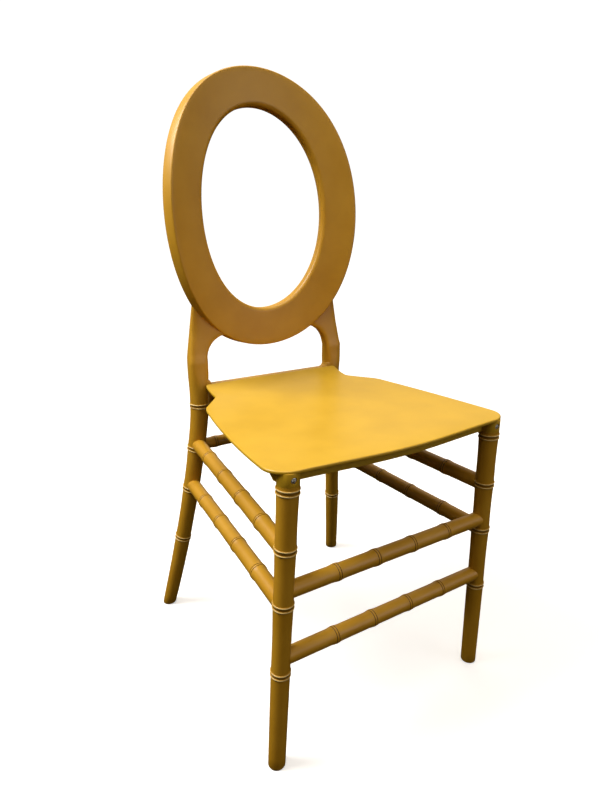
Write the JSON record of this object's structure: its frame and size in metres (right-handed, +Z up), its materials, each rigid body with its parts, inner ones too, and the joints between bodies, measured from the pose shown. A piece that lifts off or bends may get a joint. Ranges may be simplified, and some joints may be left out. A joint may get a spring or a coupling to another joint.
{
  "type": "plastic dining chair",
  "caption": "Armless moulded plastic side chair in the form of bamboo canes, with an open oval back, splayed rear legs, a thin dished seat and stretchers between the legs.",
  "frame": {"origin": "on the floor, at the middle of the chair's outer box", "axes": "+Z up, -Y towards the front of the chair, +X towards the sitter's left"},
  "size_m": [0.41, 0.4589, 0.9424],
  "materials": {
    "frame_plastic": "satin moulded polypropylene in ochre gold",
    "seat_plastic": "satin moulded polypropylene in ochre gold",
    "screw_steel": "zinc-plated screw head"
  },
  "bodies": {
    "root": {"back_frame": "frame_plastic", "front_leg_left": "frame_plastic", "front_leg_right": "frame_plastic", "front_stretcher_upper": "frame_plastic", "front_stretcher_lower": "frame_plastic", "side_stretcher_upper_left": "frame_plastic", "side_stretcher_upper_right": "frame_plastic", "side_stretcher_lower_left": "frame_plastic", "side_stretcher_lower_right": "frame_plastic", "rear_stretcher": "frame_plastic", "seat": "seat_plastic", "seat_screws": "screw_steel"}
  },
  "joints": []
}
